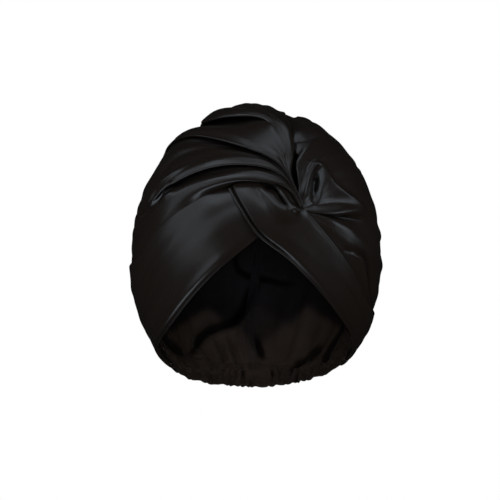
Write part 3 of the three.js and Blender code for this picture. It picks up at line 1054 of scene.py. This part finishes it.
@dataclass(frozen=True)
class NapeHem:
    """The curved line of the nape hem, in degrees about the back pole."""

    top: float = 52.0
    bottom: float = 59.6
    top_left: float = 226.0
    bottom_left: float = 231.0
    top_right: float = 319.0
    bottom_right: float = 314.0
    curve: float = 2.4
    trim: float = 0.993
    side_edge: float = 14.0
    sway: float = 6.0
    sway_height: float = 20.0
    sway_reach: float = 30.0

    def spot(self, angle: Array, middle: float, left: float, right: float) -> Array:
        """Chart spots of a line of the hem.

        Args:
            angle: Compass angles in degrees.
            middle: Angle from the back pole at the middle.
            left: Compass angle at which the line meets the crown seam on the left.
            right: The same on the right.

        Returns:
            The chart spots about the back pole.
        """
        span = np.where(
            angle < NAPE_TURN,
            (NAPE_TURN - angle) / (NAPE_TURN - left),
            (angle - NAPE_TURN) / (right - NAPE_TURN),
        )
        return FORM.seam_spot(angle, mix(middle, 180 - FORM.crown_seam, span**self.curve))

    def upper(self, angle: Array) -> Array:
        """The line where the casing hangs from the back."""
        return self.spot(angle, self.top, self.top_left, self.top_right)

    def lower(self, angle: Array) -> Array:
        """The line of the hem's lower edge."""
        return self.spot(angle, self.bottom, self.bottom_left, self.bottom_right)

    def swing(self, spot: Array) -> Array:
        """How far the middle seam hangs to one side, in quarter turns."""
        height = FORM.centre_height + FORM.half_height * np.sin(spot[..., 1] * QUARTER)
        low = (height - self.sway_height) / self.sway_reach
        return -self.sway / FORM.half_width / QUARTER * np.exp(-low * low)


HEM = NapeHem()


def back_push(spot: Array) -> Array:
    """Lift of the back's soft folds at chart spots about the back pole."""
    seen = FORM.place(spot, np.zeros(spot.shape[:-1]), Pole.BACK)[..., [0, 2]]
    sags = sum(sag.lift(seen) for sag in BACK_SAGS)
    return sags + sum(crease.push(spot * CHART_MM) for crease in BACK_DEEPS + BACK_CREASES)


def back_depth(spot: Array) -> Array:
    """How deep in a fold of the back each chart spot lies, from 0 to 1, as the mask of painted shade on the
    inner face.
    """
    shares = [crease.push(spot * CHART_MM) / max(crease.height) for crease in BACK_DEEPS]
    return ease((np.max(shares, axis=0) - PAINTED_SHADE_START) / PAINTED_SHADE_SPAN)


def side_push(spot: Array) -> Array:
    """Lift of the back's soft folds, calmed towards the crown seam."""
    to_edge = ((180 - FORM.crown_seam) / 90 - np.linalg.norm(spot, axis=-1)) * CHART_MM
    return back_push(spot) * ease(to_edge / SIDE_CALM)


def seam_lift(angle: Array) -> Array:
    """Lift of the front pieces where they meet the crown seam, by compass angle in degrees."""
    ends = sorted(
        (fold.seam % 360, fold.lift[-1])
        for piece in (LEFT_BAND, LEFT_DRAPE[1:], RIGHT_DRAPE[2:-1], RIGHT_BAND)
        for fold in piece
    )
    return np.interp(np.mod(angle, 360), [end[0] for end in ends], [end[1] for end in ends], period=360)


@dataclass
class BackHalf(ClothPiece):
    """One half of the bag at the back, from the nape hem to the crown seam."""

    side: Side = Side.LEFT
    gathers: int = 7
    gather_lift: float = 2.2
    gather_reach: float = 0.42
    tuck: float = 4.0
    tuck_start: float = 2.4
    under: float = 2.4
    under_from: float = 1.6
    under_span: float = 2.0
    seam_half_gap: float = 0.5
    gather_sway: Point = (0.012, 23.0)
    gather_start: float = 9.0
    middle_calm: Point = (0.06, 6.0)
    meet_reach: float = 10.0
    side_reach: float = 8.0
    calm_crown: float = 20.0
    calm_side: float = 8.0
    calm_middle: float = 12.0
    ripple: Ripple = Ripple(21, 0.5, (14, 34), (50, 160))

    def hem_turn(self, u: Array) -> Array:
        """Compass angles of the half's hem, in degrees."""
        return mix(NAPE_TURN, HEM.top_left if self.side is Side.LEFT else HEM.top_right, u)

    def spread(self, u: Array, v: Array, edge: float) -> Array:
        """Chart spots of the half between its hem and the crown seam.

        Args:
            u: Shares of the way from the middle seam to the side.
            v: Shares of the way from the hem to the crown seam.
            edge: Angle of the crown seam from the back pole, in degrees.

        Returns:
            The chart spots.
        """
        hand = self.side.value
        hem_end = self.hem_turn(1.0)
        crown_middle = 90.0 if self.side is Side.LEFT else 450.0
        hem_angle = self.hem_turn(u)
        crown_angle = mix(crown_middle, hem_end + hand * HEM.side_edge, u)
        hem = HEM.upper(hem_angle) * mix(HEM.trim, 1.0, u**4)[..., None]
        length = np.linalg.norm(hem, axis=-1)
        hem = hem * (np.minimum(length, edge / 90) / length)[..., None]
        crown = FORM.seam_spot(crown_angle, np.full_like(crown_angle, edge))
        reach = mix(np.linalg.norm(hem, axis=-1), np.linalg.norm(crown, axis=-1), v)
        round_spot = FORM.seam_spot(mix(hem_angle, crown_angle, v), reach * 90)
        spot = mix(mix(hem, crown, v[..., None]), round_spot, (u**5)[..., None])
        half_gap = hand * self.seam_half_gap / FORM.half_width
        spot[..., 0] += half_gap * (1 - u) ** 8 + HEM.swing(spot) * (1 - u) ** 3
        return spot

    def depth(self, across: Array, along: Array) -> Array:
        """How deep in a fold the grid lies, from 0 to 1, as the mask of painted shade on the inner face."""
        return back_depth(self.spread(across[:, None], along[None, :], 180 - FORM.crown_seam))

    def surface(self, across: Array, along: Array) -> Array:
        """Lift the half into its gathers and folds.

        Args:
            across: Cell lines from the middle seam to the side.
            along: Cell lines from the hem to the crown seam.

        Returns:
            The middle surface in millimetres.
        """
        hand = self.side.value
        edge = 180 - FORM.crown_seam - FORM.seam_gap / 2
        u, v = across[:, None], along[None, :]
        hem_angle = self.hem_turn(u)
        spot = self.spread(u, v, edge)
        fade = np.maximum(0, 1 - v / self.gather_reach)
        wave = u + self.gather_sway[0] * np.sin(u * self.gather_sway[1] + hand) * v
        gather = np.sin(wave * self.gathers * 2 * math.pi + hand) * self.gather_lift * fade
        gather = gather * np.minimum(1, v * self.gather_start)
        middle = ease((u - self.middle_calm[0]) * self.middle_calm[1])
        to_edge = (edge / 90 - np.linalg.norm(spot, axis=-1)) * CHART_MM
        lift = gather * middle * np.minimum(1, (1 - u) * self.middle_calm[1]) + side_push(spot)
        near = v * self.span[1]
        lift = lift + nape_pucker(hem_angle, near)
        left = (1 - v) * self.span[1]
        turn = np.degrees(np.arctan2(spot[..., 1], spot[..., 0]))
        meet = seam_lift(turn) * np.exp(-left / self.meet_reach) + seam_pucker(turn, left)
        side_meet = seam_lift(turn) + CROWN_GATHERS.close(np.mod(turn, 360))
        lift = lift + mix(meet, side_meet * np.exp(-to_edge / self.side_reach), u**6)
        calm = ease(left / self.calm_crown) * ease((1 - u) * self.calm_side) * ease(u * self.calm_middle)
        lift = lift + self.ripple.push(u * self.span[0], near) * calm
        tucked = to_edge - self.tuck * np.exp(-((to_edge / self.tuck_start) ** 2))
        spot = spot * ((edge / 90 - tucked / CHART_MM) / np.linalg.norm(spot, axis=-1))[..., None]
        lift = lift - self.under * ease((self.under_from - tucked) / self.under_span)
        return FORM.place(spot, lift, Pole.BACK)


def nape_pucker(angle: Array, away: Array) -> Array:
    """Lift of the elastic's gathers above the casing.

    Args:
        angle: Compass angle at the hem, in degrees.
        away: Distance from the casing in millimetres.

    Returns:
        The lifts, alike on both sides of the casing's upper edge.
    """
    calm = ease((angle - HEM.top_left) / 5) * ease((HEM.top_right - angle) / 5)
    calm = calm * ease((np.abs(angle - NAPE_TURN) - 2) / 6)
    return calm * NAPE_GATHERS.push(angle, away)


@dataclass
class NapeCasing(ClothPiece):
    """The gathered casing of the nape hem, ruffled by its elastic."""

    scallops: float = 11.0
    ruffle_lift: float = 1.8
    ruffle_drop: float = 0.036
    tuck: float = 0.25
    under: float = 2.2
    end_share: float = 0.02
    end_reach: float = 0.03
    end_under: float = 1.3
    end_calm: float = 14.0
    uneven: tuple[Triple, ...] = ((0.3, 17.0, 0.0), (0.08, 41.0, 1.0))
    arch_power: float = 0.7
    arch_middle: float = 0.5
    pucker_fade: float = 0.85
    tuck_from: float = 0.25

    def surface(self, across: Array, along: Array) -> Array:
        """Hang the casing from the back halves.

        Args:
            across: Cell lines from the left side to the right.
            along: Cell lines from the upper edge to the lower one.

        Returns:
            The middle surface in millimetres.
        """
        u, v = across[:, None], mix(-self.tuck, 1.0, along)[None, :]
        down = np.maximum(0, v)
        angle = mix(HEM.top_left, HEM.top_right, u)
        low_angle = mix(HEM.bottom_left, HEM.bottom_right, u)
        place = u * self.scallops
        for sway, turns, start in self.uneven:
            place = place + sway * np.sin(u * turns + start)
        calm = np.minimum(1, u * self.end_calm) * np.minimum(1, (1 - u) * self.end_calm)
        share = v[..., None] * mix(1.0, calm, v < 0)[..., None]
        spot = mix(HEM.upper(angle), HEM.lower(low_angle), share)
        scallop = np.abs(np.sin(place * math.pi)) ** self.arch_power - self.arch_middle
        spot = spot * (1 + self.ruffle_drop * scallop * ease(down) * calm)[..., None]
        lift = self.ruffle_lift * np.cos(2 * math.pi * place) * calm * down
        lift = lift + nape_pucker(angle, np.zeros_like(v)) * (1 - self.pucker_fade * down)
        lift = lift - self.under * ease((self.tuck_from - v) / (self.tuck_from + self.tuck)) * calm
        lift = lift + side_push(spot) * (1 - ease(down))
        end = np.exp(-((np.minimum(u, 1 - u) / self.end_share) ** 2))
        spot = spot * (1 + self.end_reach * end)[..., None]
        lift = lift - self.end_under * end
        return FORM.place(spot, lift, Pole.BACK)


@dataclass
class SeamStrip(ClothPiece):
    """The seam allowance inside the middle of the back."""

    width: float = 8.0
    under: float = 1.65
    groove_depth: float = 0.35
    groove_width: float = 0.09

    def surface(self, across: Array, along: Array) -> Array:
        """Lay the strip against the inner face of the back halves.

        Args:
            across: Cell lines from the left edge to the right.
            along: Cell lines from the hem to the crown seam.

        Returns:
            The middle surface in millimetres.
        """
        u, v = across[:, None], along[None, :]
        low = HEM.upper(np.array(NAPE_TURN)) * HEM.trim
        high = FORM.seam_spot(np.array(90.0), 180 - FORM.crown_seam - FORM.seam_gap / 2)
        middle = low + (high - low) * v[..., None]
        spot = middle + np.zeros((len(across), 1, 1))
        spot[..., 0] += (u - 0.5) * self.width / FORM.half_width / QUARTER + HEM.swing(spot)
        groove = self.groove_depth * np.exp(-(((u - 0.5) / self.groove_width) ** 2))
        return FORM.place(spot, back_push(spot) - self.under - groove, Pole.BACK)


def hang(name: str, data: bpy.types.ID, aim: Triple, way: Triple, away: float) -> bpy.types.Object:
    """Hang a light or a camera so that it faces a place.

    Args:
        name: The object's name.
        data: The light or the camera.
        aim: The place that it faces, in metres.
        way: The direction from there to it.
        away: How far away it hangs, in metres.

    Returns:
        The object.
    """
    hung = bpy.data.objects.new(name, data)
    bpy.context.scene.collection.objects.link(hung)
    out = Vector(way).normalized()
    hung.location = Vector(aim) + out * away
    hung.rotation_mode = "QUATERNION"
    hung.rotation_quaternion = out.to_track_quat("Z", "Y")
    return hung


@dataclass(frozen=True)
class Panel:
    """A soft light panel that faces the wrap."""

    name: str
    way: Triple
    size: Point
    power: float
    use: Use = Use.SHINE
    away: float = 1.5
    front_only: bool = False
    aim: Triple = (0.0, 0.0, 0.09)
    shine_tint: Triple = (0.76, 0.88, 1.0)
    fill_tint: Triple = (1.0, 0.95, 0.90)

    def hang(self, front: bpy.types.Collection) -> None:
        """Hang the panel in its direction, at its distance.

        Args:
            front: The front pieces, which some panels light alone.
        """
        panel = bpy.data.lights.new(self.name, "AREA")
        panel.shape = "RECTANGLE"
        panel.size, panel.size_y = self.size
        panel.energy = self.power
        panel.color = self.shine_tint if self.use is Use.SHINE else self.fill_tint
        lamp = hang(self.name, panel, self.aim, self.way, self.away)
        lamp.visible_glossy = self.use is Use.SHINE
        lamp.visible_diffuse = self.use is Use.FILL
        if self.front_only:
            lamp.light_linking.receiver_collection = front


@dataclass(frozen=True)
class Beam:
    """A soft spotlight that shines through the face opening into the hollow."""

    name: str
    way: Triple
    aim: Triple
    cone: float
    power: float
    away: float = 2.0
    softness: float = 0.05
    tint: Triple = (1.0, 0.95, 0.90)

    def hang(self, walls: bpy.types.Collection) -> None:
        """Hang the spotlight before the opening, without a glint of its own.

        Args:
            walls: The pieces that it lights.
        """
        beam = bpy.data.lights.new(self.name, "SPOT")
        beam.energy = self.power
        beam.color = self.tint
        beam.spot_size = math.radians(self.cone)
        beam.spot_blend = 1.0
        beam.shadow_soft_size = self.softness
        lamp = hang(self.name, beam, self.aim, self.way, self.away)
        lamp.visible_glossy = False
        lamp.light_linking.receiver_collection = walls


BEAMS = (
    Beam("left wall beam", (0.2, -0.93, 0.30), (-0.014, 0.0, 0.052), cone=4.0, power=95.0),
    Beam("right wall beam", (-0.2, -0.93, 0.30), (0.019, 0.0, 0.050), cone=4.0, power=95.0),
    Beam("middle beam", (0.0, -0.955, 0.295), (0.0, 0.0, 0.012), cone=4.4, power=45.0),
    Beam("low beam", (0.0, -1.0, 0.03), (0.0, 0.0, 0.05), cone=3.6, power=60.0, tint=(0.55, 0.66, 1.0)),
)

PANELS = (
    Panel("left panel", (-0.79, -0.46, 0.40), (1.2, 1.2), 3.7),
    Panel("left upper panel", (-0.45, -0.50, 0.74), (0.9, 0.4), 2.2),
    Panel("left side panel", (-0.86, 0.10, 0.50), (0.6, 0.5), 0.9),
    Panel("front upper panel", (0.10, -0.66, 0.74), (1.1, 0.5), 2.2),
    Panel("crown panel", (0.31, -0.04, 0.95), (0.8, 0.6), 1.5),
    Panel("top panel", (-0.05, -0.24, 0.97), (0.6, 0.3), 0.7),
    Panel("right upper panel", (0.85, -0.26, 0.44), (0.45, 0.4), 1.1),
    Panel("right side panel", (0.95, -0.04, 0.27), (0.5, 0.5), 0.9),
    Panel("right panel", (0.85, -0.50, -0.05), (1.2, 1.2), 0.2),
    Panel("floor panel", (-0.46, -0.48, -0.75), (1.2, 0.8), 6.5, front_only=True),
    Panel("front upper fill", (0.0, -0.66, 0.75), (0.9, 0.5), 1.4, Use.FILL, 2.0),
    Panel("left front fill", (-0.74, -0.64, 0.18), (0.7, 0.5), 6.6, Use.FILL, 2.0),
    Panel("right front fill", (0.78, -0.60, 0.15), (0.7, 0.5), 6.0, Use.FILL, 2.0),
    Panel("back fill", (0.0, 1.0, 0.2), (1.6, 1.6), 6.0, Use.FILL, 2.0),
)


@dataclass
class Studio:
    """White studio: a pale floor and surround, soft lights, and the camera of the front view."""

    distance: float = 5.0
    aim: Triple = (-0.0052, 0.0, 0.0877)
    frame_width: float = 0.430
    sensor: float = 36.0
    elevation: float = 1.0
    floor_drop: float = 0.6
    floor_half: float = 6.0
    dome_radius: float = 9.0
    air: float = 0.25

    def white(self) -> bpy.types.Material:
        """Even white of the floor and the surround."""
        white = bpy.data.materials.new("studio_white")
        white.use_nodes = True
        shader = white.node_tree.nodes["Principled BSDF"]
        shader.inputs["Base Color"].default_value = (0.0, 0.0, 0.0, 1.0)
        shader.inputs["Specular IOR Level"].default_value = 0.0
        shader.inputs["Emission Color"].default_value = (1.0, 1.0, 1.0, 1.0)
        shader.inputs["Emission Strength"].default_value = 1.0
        return white

    def surround(self) -> None:
        """Make the floor and the wide surround, seen by the camera alone."""
        white = self.white()
        floor = bmesh.new()
        bmesh.ops.create_grid(floor, x_segments=1, y_segments=1, size=self.floor_half)
        bmesh.ops.translate(floor, vec=(0, 0, -self.floor_drop), verts=floor.verts)
        dome = bmesh.new()
        bmesh.ops.create_uvsphere(dome, u_segments=48, v_segments=24, radius=self.dome_radius)
        bmesh.ops.reverse_faces(dome, faces=dome.faces)
        for name, bm in (("floor", floor), ("surround", dome)):
            mesh = bpy.data.meshes.new(name)
            bm.to_mesh(mesh)
            bm.free()
            mesh.materials.append(white)
            thing = bpy.data.objects.new(name, mesh)
            bpy.context.scene.collection.objects.link(thing)
            thing.visible_diffuse = False
            thing.visible_glossy = False
            thing.visible_transmission = False
            thing.visible_shadow = False

    def build(self, inner_walls: list[bpy.types.Object], front_pieces: list[bpy.types.Object]) -> None:
        """Set up the surround, the lights, the air's faint light and the camera.

        Args:
            inner_walls: The pieces that the beams light through the face opening.
            front_pieces: The bands and drapes at the front.
        """
        self.surround()
        walls = bpy.data.collections.new("inner_walls")
        for piece in inner_walls:
            walls.objects.link(piece)
        front = bpy.data.collections.new("front_pieces")
        for piece in front_pieces:
            front.objects.link(piece)
        for panel in PANELS:
            panel.hang(front)
        for beam in BEAMS:
            beam.hang(walls)
        world = bpy.data.worlds.new("studio_air")
        bpy.context.scene.world = world
        world.use_nodes = True
        air = world.node_tree.nodes["Background"]
        air.inputs["Color"].default_value = (1.0, 0.96, 0.92, 1.0)
        air.inputs["Strength"].default_value = self.air
        world.cycles_visibility.glossy = False
        self.camera()

    def camera(self) -> None:
        """Set the camera before the face opening, with a long lens."""
        lens = bpy.data.cameras.new("front_camera")
        lens.sensor_width = self.sensor
        lens.lens = self.sensor * self.distance / self.frame_width
        rise = math.radians(self.elevation)
        back = (0.0, -math.cos(rise), math.sin(rise))
        bpy.context.scene.camera = hang("front_camera", lens, self.aim, back, self.distance)
        bpy.context.scene.view_settings.view_transform = "Standard"


BAND = SatinFinish("band_black_satin", (0.28, 0.36))
DRAPE = SatinFinish("drape_black_satin", (0.26, 0.34))
BACK = SatinFinish("back_black_satin", (0.28, 0.36))
SEAM = SatinFinish("seam_black_satin", (0.36, 0.44), (0.0145, 0.0122, 0.0110), (0.0180, 0.0152, 0.0135))
CASING = SatinFinish("casing_black_satin", (0.30, 0.38))


def wrap_pieces() -> list[ClothPiece]:
    """The wrap's sheets of cloth, in the order in which they are sewn."""
    return [
        BackHalf("back_left", "back_satin", BACK, 1.2, (180, 170), (150, 225), (0.17, 0.23),
                 Held.GATHERED, ("hem_casing_satin",), side=Side.LEFT),
        BackHalf("back_right", "back_satin", BACK, 1.2, (180, 170), (150, 225), (0.17, 0.23),
                 Held.GATHERED, ("hem_casing_satin",), side=Side.RIGHT,
                 ripple=Ripple(22, 0.5, (14, 34), (50, 160))),
        SeamStrip("back_seam", "seam_satin", SEAM, 0.9, (20, 150), (8, 230), (0.010, 0.23),
                  Held.STRETCHED, ("back_left_satin", "back_right_satin")),
        NapeCasing("hem_casing", "casing_satin", CASING, 1.6, (640, 24), (190, 14), (0.30, 0.014),
                   Held.GATHERED, ("back_left_satin", "back_right_satin")),
        FrontPiece("left_band", "band_satin", BAND, 1.4, (130, 200), (75, 215), (0.075, 0.215),
                   Held.FOLDED, ("back_left_satin",), folds=LEFT_BAND, pleats=LEFT_BAND_PLEATS, gather=0.5,
                   ripple=Ripple(31, 0.22, (14, 34), (70, 220))),
        FrontPiece("right_band", "band_satin", BAND, 1.4, (120, 210), (50, 225), (0.05, 0.225),
                   Held.FOLDED, ("back_right_satin",), folds=RIGHT_BAND, pleats=RIGHT_BAND_PLEATS,
                   creases=RIGHT_BAND_CREASES, gather=0.5,
                   ripple=Ripple(32, 0.22, (14, 34), (70, 220))),
        FrontPiece("left_drape", "drape_satin", DRAPE, 1.2, (300, 140), (170, 180), (0.17, 0.18),
                   Held.GATHERED, ("back_left_satin",), folds=LEFT_DRAPE, pleats=LEFT_DRAPE_PLEATS,
                   creases=LEFT_DRAPE_CREASES, ripple=Ripple(33, 0.3, (10, 26), (60, 200))),
        FrontPiece("right_drape", "drape_satin", DRAPE, 1.2, (240, 150), (150, 170), (0.15, 0.17),
                   Held.GATHERED, ("back_right_satin",), folds=RIGHT_DRAPE, creases=RIGHT_DRAPE_CREASES,
                   ripple=Ripple(34, 0.3, (10, 26), (60, 200))),
    ]


def main() -> None:
    """Build and dress every piece, then the studio, and note the sizes."""
    logging.basicConfig(level=logging.INFO, format="%(message)s")
    inner_walls, front_pieces = [], []
    for sheet in wrap_pieces():
        piece = sheet.build()
        LOG.info("%s: %d faces before its wall", piece.name, len(piece.data.polygons))
        group = front_pieces if isinstance(sheet, FrontPiece) else inner_walls
        group.append(piece)
    Studio().build(inner_walls, front_pieces)


if __name__ == "__main__":
    main()
